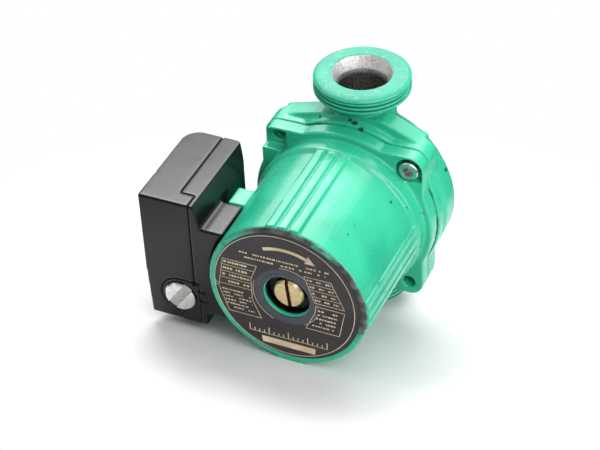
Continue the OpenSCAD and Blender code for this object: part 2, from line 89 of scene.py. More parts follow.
# ---------------------------------------------------------------- materials
class Surface:
    """A Principled material and short calls for the nodes that drive it, in the frame's coordinates."""

    def __init__(self, name):
        self.material = bpy.data.materials.new(name)
        self.material.use_nodes = True
        self.tree = self.material.node_tree
        self.shader = self.tree.nodes["Principled BSDF"]
        self.place = self.tree.nodes.new("ShaderNodeTexCoord").outputs["Object"]

    def node(self, kind, **settings):
        made = self.tree.nodes.new(kind)
        for key, value in settings.items():
            setattr(made, key, value)
        return made

    def link(self, source, target):
        self.tree.links.new(source, target)

    def value(self, target, source):
        if isinstance(source, (int, float)):
            target.default_value = source
        else:
            self.link(source, target)

    def noise(self, size, detail=4.0, rough=0.55, stretch=None):
        """Noise with features of about the given size in millimetres, from 0 to 1."""
        made = self.node("ShaderNodeTexNoise")
        made.inputs["Scale"].default_value = 1.0 / (size * MM)
        made.inputs["Detail"].default_value = detail
        made.inputs["Roughness"].default_value = rough
        place = self.place
        if stretch:
            mapping = self.node("ShaderNodeMapping")
            mapping.inputs["Scale"].default_value = stretch
            self.link(place, mapping.inputs["Vector"])
            place = mapping.outputs["Vector"]
        self.link(place, made.inputs["Vector"])
        return made.outputs["Fac"]

    def ramp(self, source, low, high, start=0.0, end=1.0):
        """source from low to high becomes start to end, clamped."""
        made = self.node("ShaderNodeMapRange", interpolation_type="SMOOTHSTEP")
        made.inputs["From Min"].default_value = low
        made.inputs["From Max"].default_value = high
        made.inputs["To Min"].default_value = start
        made.inputs["To Max"].default_value = end
        self.link(source, made.inputs["Value"])
        return made.outputs["Result"]

    def math(self, operation, a, b=0.0):
        made = self.node("ShaderNodeMath", operation=operation)
        self.value(made.inputs[0], a)
        self.value(made.inputs[1], b)
        return made.outputs["Value"]

    def mix(self, factor, a, b):
        """Colour mix; a and b are colours or sockets."""
        made = self.node("ShaderNodeMix", data_type="RGBA")
        self.value(made.inputs[0], factor)
        for socket, source in ((made.inputs[6], a), (made.inputs[7], b)):
            if isinstance(source, tuple):
                socket.default_value = (*source, 1.0)
            else:
                self.link(source, socket)
        return made.outputs[2]

    def axes(self):
        made = self.node("ShaderNodeSeparateXYZ")
        self.link(self.place, made.inputs["Vector"])
        return made.outputs["X"], made.outputs["Y"], made.outputs["Z"]

    def radius(self, u, v, centre=(0.0, 0.0)):
        """Distance in millimetres from a line, given the two coordinates across it and its centre."""
        du = self.math("SUBTRACT", self.math("MULTIPLY", u, 1.0 / MM), centre[0])
        dv = self.math("SUBTRACT", self.math("MULTIPLY", v, 1.0 / MM), centre[1])
        squares = self.math("ADD", self.math("MULTIPLY", du, du), self.math("MULTIPLY", dv, dv))
        return self.math("SQRT", squares)

    def spots(self, places):
        """Ragged dark patches, from 0 to 1. places are (x, y, z, radius) in millimetres."""
        ragged = self.math("MULTIPLY", self.noise(1.4, 4), 1.6)
        total = 0.0
        for px, py, pz, size in places:
            made = self.node("ShaderNodeVectorMath", operation="DISTANCE")
            self.link(self.place, made.inputs[0])
            made.inputs[1].default_value = (px * MM, py * MM, pz * MM)
            far = self.math("ADD", self.math("MULTIPLY", made.outputs["Value"], 1.0 / MM), ragged)
            total = self.math("MAXIMUM", total, self.ramp(far, size + 0.9, size + 0.3))
        return total

    def bump(self, *layers):
        """layers are (height source, depth in millimetres), from coarse to fine."""
        normal = None
        for height, depth in layers:
            made = self.node("ShaderNodeBump")
            made.inputs["Strength"].default_value = 1.0
            made.inputs["Distance"].default_value = depth * MM
            self.link(height, made.inputs["Height"])
            if normal is not None:
                self.link(normal, made.inputs["Normal"])
            normal = made.outputs["Normal"]
        self.link(normal, self.shader.inputs["Normal"])

    def colour(self, source):
        self.link(source, self.shader.inputs["Base Color"])

    def roughness(self, source):
        self.value(self.shader.inputs["Roughness"], source)

    def set(self, **values):
        for key, value in values.items():
            self.shader.inputs[key.replace("_", " ")].default_value = value


PAINT_DEEP = (0.020, 0.400, 0.240)
PAINT_LIGHT = (0.040, 0.545, 0.325)
PAINT_DIRT = (0.010, 0.060, 0.040)
PRIMER = (0.105, 0.095, 0.095)


def paint_base(s):
    """Green enamel with shade drift, dirt and small dark chips. Returns its colour and the mask of chips."""
    drift = s.ramp(s.noise(46, 2), 0.35, 0.68)
    colour = s.mix(drift, PAINT_DEEP, PAINT_LIGHT)
    dirt = s.ramp(s.noise(9, 7, 0.7), 0.62, 0.84, 0.0, 0.35)
    colour = s.mix(dirt, colour, PAINT_DIRT)
    chip_zone = s.ramp(s.noise(30, 2), 0.52, 0.66)
    chips = s.math("MULTIPLY", s.ramp(s.noise(2.6, 3), 0.675, 0.71), chip_zone)
    return s.mix(chips, colour, (0.02, 0.03, 0.028)), chips


# Places where paint is missing, as (x, y, z, radius) in millimetres
PUMP_SPOTS = ((3.1, -18.0, 47.8, 1.7), (7.3, -20.2, 46.5, 1.5), (0.4, -17.2, 48.2, 1.2),
    (45.3, -5.3, 21.8, 1.3), (-15.5, -16.8, 45.6, 0.9))
MOTOR_SPOTS = ((31.6, -43.1, 26.2, 1.0), (-10.5, -96.3, 35.8, 1.0))


def joint_dirt(s, y, z):
    """Broken dark line along the joint between the two castings, below the collars."""
    line = s.ramp(s.math("ABSOLUTE", s.math("SUBTRACT", y, JOINT_Y)), 0.45 * MM, 0.15 * MM)
    line = s.math("MULTIPLY", line, s.ramp(s.math("ABSOLUTE", z), 52 * MM, 50 * MM))
    return s.math("MULTIPLY", line, s.ramp(s.noise(12, 3), 0.40, 0.62, 0.0, 0.85))


def pump_paint():
    """Paint on the pump housing, with bare rough iron in the ports and the passages."""
    s = Surface("pump_paint")
    colour, _ = paint_base(s)
    x, y, z = s.axes()
    height = s.math("ABSOLUTE", z)
    edge = s.math("MULTIPLY", s.noise(1.5, 3), 0.7)
    port = s.math("ADD", s.radius(x, y), edge)
    inside = s.ramp(port, MOUTH_R / MM + 1.15, MOUTH_R / MM + 0.9)
    grit = s.noise(0.9, 6, 0.7)
    # Painted shade and light: the iron is coloured bright at the mouth and dark deeper in the passage, where
    # shade falls
    mouth = s.ramp(height, FACE_Z - 10.5 * MM, FACE_Z - 7.0 * MM)
    low = s.mix(mouth, (0.050, 0.049, 0.048), (0.48, 0.475, 0.47))
    high = s.mix(mouth, (0.30, 0.295, 0.29), (0.88, 0.87, 0.86))
    iron = s.mix(s.ramp(grit, 0.33, 0.66), low, high)
    # Painted shade in the thread grooves, below the crests and above the neck
    groove_shade = s.math("MULTIPLY", s.ramp(s.radius(x, y), UNION_R / MM - 0.35, UNION_R / MM - 0.95),
        s.math("MULTIPLY", s.ramp(height, FACE_Z - UNION_LEN, FACE_Z - UNION_LEN + 0.4 * MM),
            s.ramp(height, FACE_Z - 1.6 * MM, FACE_Z - 2.2 * MM)))
    colour = s.mix(s.math("MULTIPLY", groove_shade, 0.8), colour, (0.006, 0.045, 0.035))
    # The crown of the collar is dull and handled
    crown = s.ramp(height, FACE_Z - 1.5 * MM, FACE_Z - 0.3 * MM)
    handled = s.math("MULTIPLY", crown, s.ramp(s.noise(7, 6, 0.65), 0.38, 0.70, 0.25, 0.75))
    colour = s.mix(handled, colour, (0.085, 0.330, 0.270))
    scuffs = s.math("MULTIPLY", crown, s.ramp(s.noise(3.2, 6, 0.7), 0.54, 0.70, 0.0, 0.45))
    colour = s.mix(scuffs, colour, (0.40, 0.56, 0.50))
    # Missing paint at the root of the neck, and dirt in the joint with the motor
    colour = s.mix(s.math("MULTIPLY", s.spots(PUMP_SPOTS), 0.9), colour, (0.004, 0.022, 0.018))
    colour = s.mix(joint_dirt(s, y, z), colour, (0.004, 0.030, 0.024))
    s.colour(s.mix(inside, colour, iron))
    s.link(s.math("MULTIPLY", inside, 0.9), s.shader.inputs["Metallic"])
    worn = s.math("MAXIMUM", s.math("MULTIPLY", inside, 0.16), s.math("MULTIPLY", crown, 0.34))
    s.roughness(s.math("ADD", s.ramp(s.noise(14, 5), 0.3, 0.75, 0.20, 0.36), worn))
    s.set(Specular_IOR_Level=0.5)
    s.bump((s.noise(7, 3), 0.16), (s.noise(1.6, 5), 0.05), (s.math("MULTIPLY", grit, inside), 0.22))
    return s.material


def motor_paint():
    """Paint on the motor, rubbed to primer along the front rim, with painted shade that turns it black in
    the depth of the vent hole.
    """
    s = Surface("motor_paint_worn_and_vent_shade")
    colour, chips = paint_base(s)
    x, y, z = s.axes()
    from_axis = s.radius(x, z)
    front = s.ramp(y, FRONT_Y + 1.6 * MM, FRONT_Y + 0.4 * MM)
    # The rim is rubbed along its top and its right side, and clean at the lower left
    lean = s.math("ADD", s.math("MULTIPLY", x, 0.75 / MM), s.math("MULTIPLY", z, 0.9 / MM))
    side = s.ramp(lean, 6, 24)
    patch = s.ramp(s.noise(11, 5, 0.6), 0.36, 0.50)
    rim = s.ramp(from_axis, 40.9, 40.1)
    rubbed = s.math("MULTIPLY", s.math("MULTIPLY", front, side), s.math("MULTIPLY", patch, rim))
    tone = s.mix(s.ramp(s.noise(6, 4), 0.42, 0.6), (0.024, 0.034, 0.032), PRIMER)
    colour = s.mix(rubbed, colour, tone)
    colour = s.mix(joint_dirt(s, y, z), colour, (0.004, 0.030, 0.024))
    colour = s.mix(s.math("MULTIPLY", s.spots(MOTOR_SPOTS), 0.8), colour, (0.004, 0.022, 0.018))
    # Painted shade: the paint turns near black deep in the vent hole, where shade falls
    deep = s.ramp(y, FRONT_Y + 1.8 * MM, FRONT_Y + 2.8 * MM)
    hole = s.math("MULTIPLY", s.ramp(from_axis, 13, 12), deep)
    colour = s.mix(hole, colour, (0.006, 0.006, 0.007))
    s.colour(colour)
    bare = s.math("MAXIMUM", chips, rubbed)
    s.roughness(s.math("ADD", s.ramp(s.noise(14, 5), 0.3, 0.75, 0.20, 0.36), s.math("MULTIPLY", bare, 0.3)))
    s.set(Specular_IOR_Level=0.5, Coat_Weight=0.12, Coat_Roughness=0.12)
    s.bump((s.noise(7, 3), 0.16), (s.noise(1.6, 5), 0.05), (s.math("SUBTRACT", 1.0, bare), 0.08))
    return s.material


def label_film():
    """Dark printed film: charcoal brown, rubbed and dusty, with a lighter grey ring round the vent."""
    s = Surface("label_film")
    x, _, z = s.axes()
    from_axis = s.radius(x, z)
    base = s.mix(s.ramp(s.noise(16, 3), 0.35, 0.65), (0.016, 0.013, 0.014), (0.027, 0.022, 0.022))
    rub = s.ramp(s.noise(5, 7, 0.7, (1.0, 1.0, 2.5)), 0.55, 0.80, 0.0, 0.5)
    base = s.mix(rub, base, (0.055, 0.05, 0.055))
    ring = s.math("MULTIPLY", s.ramp(from_axis, 11.4, 12.3), s.ramp(from_axis, 17.3, 15.4))
    base = s.mix(s.math("MULTIPLY", ring, 0.8), base, (0.060, 0.068, 0.085))
    specks = s.ramp(s.noise(0.7, 4), 0.70, 0.76, 0.0, 0.8)
    base = s.mix(specks, base, (0.20, 0.18, 0.16))
    s.colour(base)
    s.roughness(s.ramp(s.noise(8, 5), 0.3, 0.7, 0.30, 0.52))
    s.bump((s.noise(9, 3), 0.05), (s.noise(0.6, 3), 0.008))
    return s.material


def print_ink():
    """Cream print with worn, slightly golden patches."""
    s = Surface("print_ink")
    base = s.mix(s.ramp(s.noise(11, 4), 0.35, 0.68), (0.60, 0.46, 0.30), (0.78, 0.66, 0.48))
    worn = s.ramp(s.noise(1.1, 4), 0.60, 0.78, 0.0, 0.55)
    s.colour(s.mix(worn, base, (0.12, 0.10, 0.09)))
    s.roughness(s.ramp(s.noise(4, 3), 0.3, 0.7, 0.38, 0.6))
    s.bump((s.noise(0.5, 3), 0.006),)
    return s.material


# Pitch of the turning marks, thickness of a core sheet and of a winding wire, in millimetres
GROOVE = 0.25
SHEET = 0.5
WIRE = 0.7


def turned_metal(name, light, dark, centre, face_y, slot_depth, dirt, stain, rough):
    """Metal turned about a line along Y through centre, in millimetres. dirt is how dark it is painted with
    depth behind its face, as painted shade in its slot.
    """
    s = Surface(name)
    x, y, z = s.axes()
    wobble = s.math("ADD", s.radius(x, z, centre), s.math("MULTIPLY", s.noise(3, 3), 0.35))
    rings = s.math("SINE", s.math("MULTIPLY", wobble, 2 * math.pi / GROOVE))
    shade = s.mix(s.ramp(s.noise(2.2, 5), 0.3, 0.7), light, dark)
    tarnish = s.ramp(s.noise(4.5, 6, 0.65), 0.58, 0.85, 0.0, 0.35)
    shade = s.mix(tarnish, shade, stain)
    # Painted shade: the colour darkens with depth behind the face, standing in for the shade in the slot
    slot_shade = s.ramp(y, face_y + slot_depth * 0.25 * MM, face_y + slot_depth * 0.8 * MM, 0.0, dirt)
    s.colour(s.mix(slot_shade, shade, (0.035, 0.020, 0.010)))
    s.set(Metallic=1.0)
    s.roughness(s.ramp(s.noise(1.8, 5), 0.3, 0.75, rough[0], rough[1]))
    s.bump((s.noise(2.5, 3), 0.006), (rings, 0.0008))
    return s.material


def box_plastic():
    """Black moulded plastic, semi-gloss, finely grained, with dust."""
    s = Surface("box_black")
    drift = s.ramp(s.noise(24, 3), 0.35, 0.65)
    base = s.mix(drift, (0.0030, 0.0030, 0.0033), (0.0055, 0.0055, 0.006))
    dust = s.ramp(s.noise(3.5, 7, 0.72), 0.62, 0.88, 0.0, 0.02)
    s.colour(s.mix(dust, base, (0.25, 0.25, 0.25)))
    s.roughness(s.ramp(s.noise(5, 6, 0.65), 0.25, 0.8, 0.14, 0.24))
    s.set(Specular_IOR_Level=0.38)
    s.bump((s.noise(11, 2), 0.03), (s.noise(0.45, 3), 0.003))
    return s.material


def plain(name, low, high, rough, grain, depth, metallic=0.0, drift=8.0):
    """A quiet finish: drifting colour and roughness, and a fine grain of the given size and depth."""
    s = Surface(name)
    s.colour(s.mix(s.ramp(s.noise(drift, 4), 0.32, 0.68), low, high))
    s.roughness(s.ramp(s.noise(grain * 6, 4), 0.3, 0.7, rough[0], rough[1]))
    s.set(Metallic=metallic)
    s.bump((s.noise(grain * 5, 3), depth * 2), (s.noise(grain, 4), depth))
    return s.material


def laminations():
    """Stacked steel sheets, seen as fine lines across the shaft."""
    s = Surface("stacked_steel")
    _, y, _ = s.axes()
    lines = s.math("SINE", s.math("MULTIPLY", y, 2 * math.pi / (SHEET * MM)))
    s.colour(s.mix(s.ramp(s.noise(6, 4), 0.3, 0.7), (0.16, 0.16, 0.17), (0.30, 0.29, 0.28)))
    s.set(Metallic=0.9)
    s.roughness(s.ramp(s.noise(3, 4), 0.3, 0.7, 0.35, 0.55))
    s.bump((lines, 0.03), (s.noise(0.8, 3), 0.01))
    return s.material


def wound_copper():
    """Enamelled wire laid round the shaft in rows."""
    s = Surface("wound_copper")
    x, y, z = s.axes()
    rows = s.math("SINE", s.math("MULTIPLY", s.radius(x, z), 2 * math.pi / WIRE))
    turns = s.math("SINE", s.math("MULTIPLY", y, 2 * math.pi / (WIRE * MM)))
    s.colour(s.mix(s.ramp(s.noise(5, 4), 0.3, 0.7), (0.45, 0.16, 0.06), (0.66, 0.30, 0.13)))
    s.set(Metallic=0.85)
    s.roughness(s.ramp(s.noise(2, 4), 0.3, 0.7, 0.28, 0.5))
    s.bump((rows, 0.12), (turns, 0.12))
    return s.material


def seamless_floor(fade_from, fade_to, centre):
    """Matt white floor that fades out with distance from a centre, in metres."""
    s = Surface("studio_floor")
    tone = s.mix(s.ramp(s.noise(60, 3), 0.3, 0.7), (0.70, 0.70, 0.705), (0.74, 0.74, 0.74))
    s.colour(tone)
    s.roughness(s.ramp(s.noise(20, 3), 0.3, 0.7, 0.75, 0.9))
    x, y, _ = s.axes()
    distance = s.radius(x, y, (centre[0] / MM, centre[1] / MM))
    s.link(s.ramp(distance, fade_to / MM, fade_from / MM), s.shader.inputs["Alpha"])
    return s.material


PUMP_PAINT = pump_paint()
MOTOR_PAINT = motor_paint()
LABEL = label_film()
INK = print_ink()
BOX_BLACK = box_plastic()
BRASS = turned_metal("turned_brass", (0.92, 0.74, 0.42), (0.80, 0.60, 0.32), (0, 0), PLUG_FACE_Y, 2.2, 0.93,
    (0.10, 0.07, 0.04), (0.22, 0.42))
KNOB_METAL = turned_metal("turned_knob", (0.86, 0.85, 0.83), (0.70, 0.69, 0.67), (KNOB.x / MM, KNOB.z / MM),
    KNOB_LOW.y, 1.0, 0.42, (0.35, 0.34, 0.33), (0.20, 0.34))
TERMINAL_BRASS = plain("terminal_brass", (0.62, 0.44, 0.20), (0.78, 0.58, 0.30), (0.25, 0.42), 0.5, 0.02,
    1.0, 3.0)
# Painted shade: the stator can is coloured near black, standing in for the shade round the plug in the vent
# hole
SHADED_CAN_STEEL = plain("can_steel_painted_shade", (0.010, 0.010, 0.011), (0.028, 0.026, 0.024), (0.5, 0.7), 0.5, 0.02, 0.3)
ZINC = plain("zinc_plate", (0.42, 0.42, 0.43), (0.66, 0.65, 0.64), (0.24, 0.42), 0.5, 0.02, 1.0, 3.0)
RUBBER = plain("black_rubber", (0.010, 0.010, 0.010), (0.020, 0.020, 0.020), (0.6, 0.8), 0.5, 0.02)
STAINLESS = plain("stainless_sheet", (0.42, 0.41, 0.40), (0.58, 0.57, 0.56), (0.25, 0.4), 0.4, 0.01, 1.0)
CARBON = plain("carbon_bearing", (0.03, 0.03, 0.032), (0.06, 0.06, 0.06), (0.3, 0.5), 0.4, 0.01)
IMPELLER = plain("impeller_dark", (0.025, 0.024, 0.022), (0.05, 0.047, 0.04), (0.35, 0.5), 0.8, 0.02)
PALE = plain("pale_nylon", (0.60, 0.58, 0.52), (0.74, 0.72, 0.66), (0.4, 0.6), 0.8, 0.02)
LEADS = plain("lead_cover", (0.28, 0.10, 0.03), (0.38, 0.15, 0.05), (0.35, 0.5), 0.5, 0.01)
STACK = laminations()
COPPER = wound_copper()

FINISH_OF_SLOT = {
    "housing_paint": PUMP_PAINT, "motor_paint": MOTOR_PAINT, "label": LABEL, "brass": BRASS,
    "zinc_steel": ZINC, "knob_metal": KNOB_METAL, "box_plastic": BOX_BLACK, "switch_plastic": BOX_BLACK,
    "rubber": RUBBER, "stainless": STAINLESS, "lamination": STACK, "copper": COPPER, "carbon": CARBON,
    "impeller_plastic": IMPELLER, "pale_plastic": PALE, "lead_insulation": LEADS,
}

FINISH_OF_NODE = {"stator_can": SHADED_CAN_STEEL, "terminal_screws": TERMINAL_BRASS, "earth_stud": TERMINAL_BRASS}


# ---------------------------------------------------------------- mesh helpers
def new_piece(name, mesh, material, body):
    obj = bpy.data.objects.new(name, mesh)
    bpy.context.scene.collection.objects.link(obj)
    mesh.materials.clear()
    mesh.materials.append(material)
    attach(obj, body)
    return obj


def node_mesh(node, flat=0.6):
    """A CAD node's mesh, welded, with its flat faces rejoined."""
    mesh = frame["nodes"][node].data
    bm = bmesh.new()
    bm.from_mesh(mesh)
    bmesh.ops.remove_doubles(bm, verts=bm.verts, dist=0.002 * MM)
    if flat:
        bmesh.ops.dissolve_limit(bm, angle_limit=math.radians(flat), verts=bm.verts, edges=bm.edges)
    return bm


def finish_mesh(bm, name, smooth=True):
    mesh = bpy.data.meshes.new(name)
    bm.to_mesh(mesh)
    bm.free()
    mesh.polygons.foreach_set("use_smooth", [smooth] * len(mesh.polygons))
    return mesh


def node_facts(node):
    """Body and material slot of a CAD node."""
    obj = frame["nodes"][node]
    return obj["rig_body"], obj.data.materials[0].name.split(".")[0]


SHARP = math.radians(32)


def moulded(name, node, edge, segments):
    """A CAD node again, its sharp edges rounded by the given radius in millimetres."""
    body, slot = node_facts(node)
    bm = node_mesh(node)
    for e in bm.edges:
        e.smooth = len(e.link_faces) == 2 and e.calc_face_angle(0) < SHARP
    finish = FINISH_OF_NODE.get(node) or FINISH_OF_SLOT[slot]
    piece = new_piece(name, finish_mesh(bm, name), finish, body)
    bevel = piece.modifiers.new("rounded", "BEVEL")
    bevel.width = edge * MM
    bevel.segments = segments
    bevel.limit_method = "ANGLE"
    bevel.angle_limit = SHARP
    bevel.harden_normals = True
    bevel.use_clamp_overlap = True
    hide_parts(node)
    return piece


def voxel_mesh(node, voxel):
    """Even quads over a CAD node. Returns the points, the edges and the mesh."""
    bm = node_mesh(node, flat=0)
    work = bpy.data.objects.new("work", finish_mesh(bm, "work"))
    bpy.context.scene.collection.objects.link(work)
    remesh = work.modifiers.new("even", "REMESH")
    remesh.mode = "VOXEL"
    remesh.voxel_size = voxel * MM
    bpy.context.view_layer.update()
    mesh = bpy.data.meshes.new_from_object(work.evaluated_get(bpy.context.evaluated_depsgraph_get()))
    bpy.data.objects.remove(work)
    return mesh


def relax(mesh, strength, passes):
    """Rounds a dense mesh: each pass moves a point by its strength towards the mean of its neighbours."""
    count = len(mesh.vertices)
    points = np.empty(count * 3)
    mesh.vertices.foreach_get("co", points)
    points = points.reshape(-1, 3)
    edges = np.empty(len(mesh.edges) * 2, dtype=np.int64)
    mesh.edges.foreach_get("vertices", edges)
    a, b = edges.reshape(-1, 2).T
    degree = np.bincount(a, minlength=count) + np.bincount(b, minlength=count)
    weight = strength(points / MM)[:, None]
    for _ in range(passes):
        total = [np.bincount(a, points[b, k], count) + np.bincount(b, points[a, k], count) for k in range(3)]
        points += weight * (np.stack(total, axis=1) / degree[:, None] - points)
    return points


def push_in(points, normals, dents):
    """Presses soft dents into a casting. Each dent is centre, radius and depth in millimetres."""
    for centre, radius, depth in dents:
        distance = np.linalg.norm(points / MM - np.array(centre), axis=1)
        amount = depth * np.exp(-(distance / radius) ** 2 * 2.0)
        points -= normals * (amount * MM)[:, None]
    return points


def casting(name, node, voxel, strength, passes, material, dents=(), keep=None):
    """A CAD node again with soft corners, filled fillets and dents, kept inside its own box."""
    body, slot = node_facts(node)
    mesh = voxel_mesh(node, voxel)
    points = relax(mesh, strength, passes)
    points = np.clip(points, *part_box(node))
    mesh.vertices.foreach_set("co", points.ravel())
    mesh.update()
    if dents:
        normals = np.empty(len(mesh.vertices) * 3)
        mesh.vertices.foreach_get("normal", normals)
        points = push_in(points, normals.reshape(-1, 3), dents)
        mesh.vertices.foreach_set("co", points.ravel())
    if keep is not None:
        bm = bmesh.new()
        bm.from_mesh(mesh)
        gone = [v for v, kept in zip(bm.verts, keep(points / MM)) if not kept]
        bmesh.ops.delete(bm, geom=gone, context="VERTS")
        bm.to_mesh(mesh)
        bm.free()
    mesh.polygons.foreach_set("use_smooth", [True] * len(mesh.polygons))
    mesh.name = name
    piece = new_piece(name, mesh, material, body)
    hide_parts(node)
    return piece


LATHE_STEPS = 144
CORNER_STEPS = 4


def lathe(bm, profile, place):
    """Turns an open profile of (radius, height) points, in metres, about Z and adds it to bm."""
    rings = []
    for k in range(LATHE_STEPS):
        a = 2 * math.pi * k / LATHE_STEPS
        points = [Vector((r * math.cos(a), r * math.sin(a), h)) for r, h in profile]
        rings.append([bm.verts.new(place @ point) for point in points])
    for k in range(LATHE_STEPS):
        here, there = rings[k], rings[(k + 1) % LATHE_STEPS]
        for i in range(len(profile) - 1):
            bm.faces.new((here[i], there[i], there[i + 1], here[i + 1]))


def rounded(profile, radius):
    """An open profile with each inner corner rounded, radius in metres."""
    out = [profile[0]]
    for before, corner, after in zip(profile, profile[1:], profile[2:]):
        c = Vector(corner)
        to_a, to_b = Vector(before) - c, Vector(after) - c
        reach = min(radius, to_a.length * 0.45, to_b.length * 0.45)
        start, end = c + to_a.normalized() * reach, c + to_b.normalized() * reach
        for k in range(CORNER_STEPS + 1):
            t = k / CORNER_STEPS
            point = start * (1 - t) ** 2 + c * (2 * t * (1 - t)) + end * t * t
            out.append((point.x, point.y))
    out.append(profile[-1])
    return out


# ---------------------------------------------------------------- castings
def collar_profile():
    """Half section of the upper collar, from the passage over the crown and the thread to its underside."""
    top = FACE_Z
    under = FACE_Z - UNION_LEN
    root = UNION_R - 1.3 * MM
    mouth = [(PASSAGE_R - 0.05 * MM, under - 1.2 * MM), (PASSAGE_R - 0.05 * MM, top - 6.5 * MM),
        (MOUTH_R + 0.5 * MM, top - 0.6 * MM), (MOUTH_R + 1.0 * MM, top - 0.02 * MM)]
    crown = [(UNION_R - 3.4 * MM, top - 0.02 * MM), (UNION_R - 1.5 * MM, top - 0.5 * MM),
        (UNION_R - 0.4 * MM, top - 1.3 * MM), (UNION_R, top - 2.1 * MM)]
    thread = []
    for k in reversed(range(3)):
        base = under + 0.55 * MM + k * PITCH
        thread += [(UNION_R, base + 2.2 * MM), (root, base + 1.75 * MM), (root, base + 1.4 * MM),
            (UNION_R, base + 0.8 * MM)]
    foot = [(UNION_R - 0.1 * MM, under + 0.5 * MM), (root, under), (13.6 * MM, under)]
    return rounded(mouth + crown + thread + foot, 0.55 * MM)


def pump_strength(p):
    """How fast each point of the pump housing rounds off: firmly outside, hardly in the passages."""
    x, y, z = p.T
    inside = (np.hypot(x, y) < 14.8) | ((np.hypot(x, z) < 42.5) & (y < 1))
    firm = np.full(len(p), 0.5)
    firm[inside] = 0.12
    return firm


def pump_housing():
    limit = (FACE_Z - UNION_LEN) / MM + 0.5
    dents = [((3.1, -18.0, 47.8), 1.4, 0.7), ((7.3, -20.2, 46.5), 1.2, 0.6), ((0.4, -17.2, 48.2), 0.9, 0.5),
        ((45.3, -5.3, 21.8), 1.2, 0.5), ((48.5, -4, 8), 1.0, 0.5), ((47.8, -9, -8), 0.9, 0.5)]
    casting("pump_casting", "pump_housing", 0.55, pump_strength, 10, PUMP_PAINT, dents,
        keep=lambda p: np.abs(p[:, 2]) < limit)
    for side, name in ((1, "upper_collar"), (-1, "lower_collar")):
        bm = bmesh.new()
        lathe(bm, collar_profile(), Matrix.Scale(side, 4, (0, 0, 1)))
        bmesh.ops.recalc_face_normals(bm, faces=bm.faces)
        collar = new_piece(name, finish_mesh(bm, name), PUMP_PAINT, "casing")
        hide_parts("pump_housing")


def motor_strength(p):
    """Firm at the flange and in its corners, light on the ribs and the front rim."""
    x, y, z = p.T
    firm = np.where(y < -38, 0.30, 0.5)
    firm[(y < FRONT_Y / MM + 1.2)] = 0.22
    firm[(np.hypot(x, z) < 13)] = 0.2
    return firm


def motor_housing():
    dents = [((14, -70, 37.8), 0.8, 0.25), ((9, -74, 39.0), 0.6, 0.2), ((20, -62, 34.8), 0.7, 0.2)]
    casting("motor_casting", "motor_housing", 0.45, motor_strength, 8, MOTOR_PAINT, dents)


def near_cover_screw(p):
    return np.hypot(p[:, 1] - COVER_SCREW[0], p[:, 2] - COVER_SCREW[1]) < 5.0


def cover_strength(p):
    """Soft edges all over the cover, but a true hole for its screw."""
    return np.where(near_cover_screw(p), 0.04, 0.42)


def base_strength(p):
    """Soft edges, and the deepest filling where the neck leaves the wall."""
    x, y, z = p.T
    firm = np.full(len(p), 0.30)
    firm[(x > -49) & (z > 18) & (z < 32) & (y < -69)] = 0.6
    firm[near_cover_screw(p)] = 0.04
    return firm


# ---------------------------------------------------------------- label
PRINT_THICK = 0.05 * MM


class Print:
    """Flat marks on the label, in millimetres across and up on the label face as seen from the front."""

    def __init__(self, y):
        self.bm = bmesh.new()
        self.y = y

    def patch(self, corners):
        """A thin raised plate with these corners, given in either direction."""
        area = sum(a[0] * b[1] - b[0] * a[1] for a, b in zip(corners, corners[1:] + corners[:1]))
        corners = corners if area > 0 else corners[::-1]
        front = [self.bm.verts.new((x * MM, self.y, z * MM)) for x, z in corners]
        back = [self.bm.verts.new((x * MM, self.y + PRINT_THICK, z * MM)) for x, z in corners]
        self.bm.faces.new(front)
        self.bm.faces.new(back[::-1])
        for k in range(len(front)):
            after = (k + 1) % len(front)
            self.bm.faces.new((front[after], front[k], back[k], back[after]))

    def line(self, a, b, width):
        a, b = Vector(a), Vector(b)
        along = (b - a).normalized()
        side = Vector((-along.y, along.x)) * width / 2
        ends = along * width * 0.3
        self.patch([a - ends - side, b + ends - side, b + ends + side, a - ends + side])

    def outline(self, points, width):
        for a, b in zip(points, points[1:] + points[:1]):
            self.line(a, b, width)

    def arc(self, centre, radius, start, end, width, steps):
        def at(r, k):
            a = math.radians(start + (end - start) * k / steps)
            return centre[0] + r * math.cos(a), centre[1] + r * math.sin(a)
        for k in range(steps):
            self.patch([at(radius - width / 2, k), at(radius - width / 2, k + 1),
                at(radius + width / 2, k + 1), at(radius + width / 2, k)])

    def bar(self, a, b, height):
        """Upright-edged bar from a to b, with a and b at its mid-height."""
        self.patch([(a[0], a[1] - height / 2), (b[0], b[1] - height / 2),
            (b[0], b[1] + height / 2), (a[0], a[1] + height / 2)])

    def words(self, a, b, height, density=0.8):
        """A row of short dashes of random length, as plain filler where small print would be."""
        a, b = Vector(a), Vector(b)
        length = (b - a).length
        along = (b - a) / length
        at = 0.0
        while at < length:
            size = random.uniform(0.5, 1.5)
            if random.random() < density:
                start, end = a + along * at, a + along * min(at + size, length)
                self.bar(start, end, height * random.uniform(0.75, 1.0))
            at += size + random.uniform(0.25, 0.7)

    def piece(self, name, material, slot):
        new_piece(name, finish_mesh(self.bm, name, smooth=False), material, "casing")


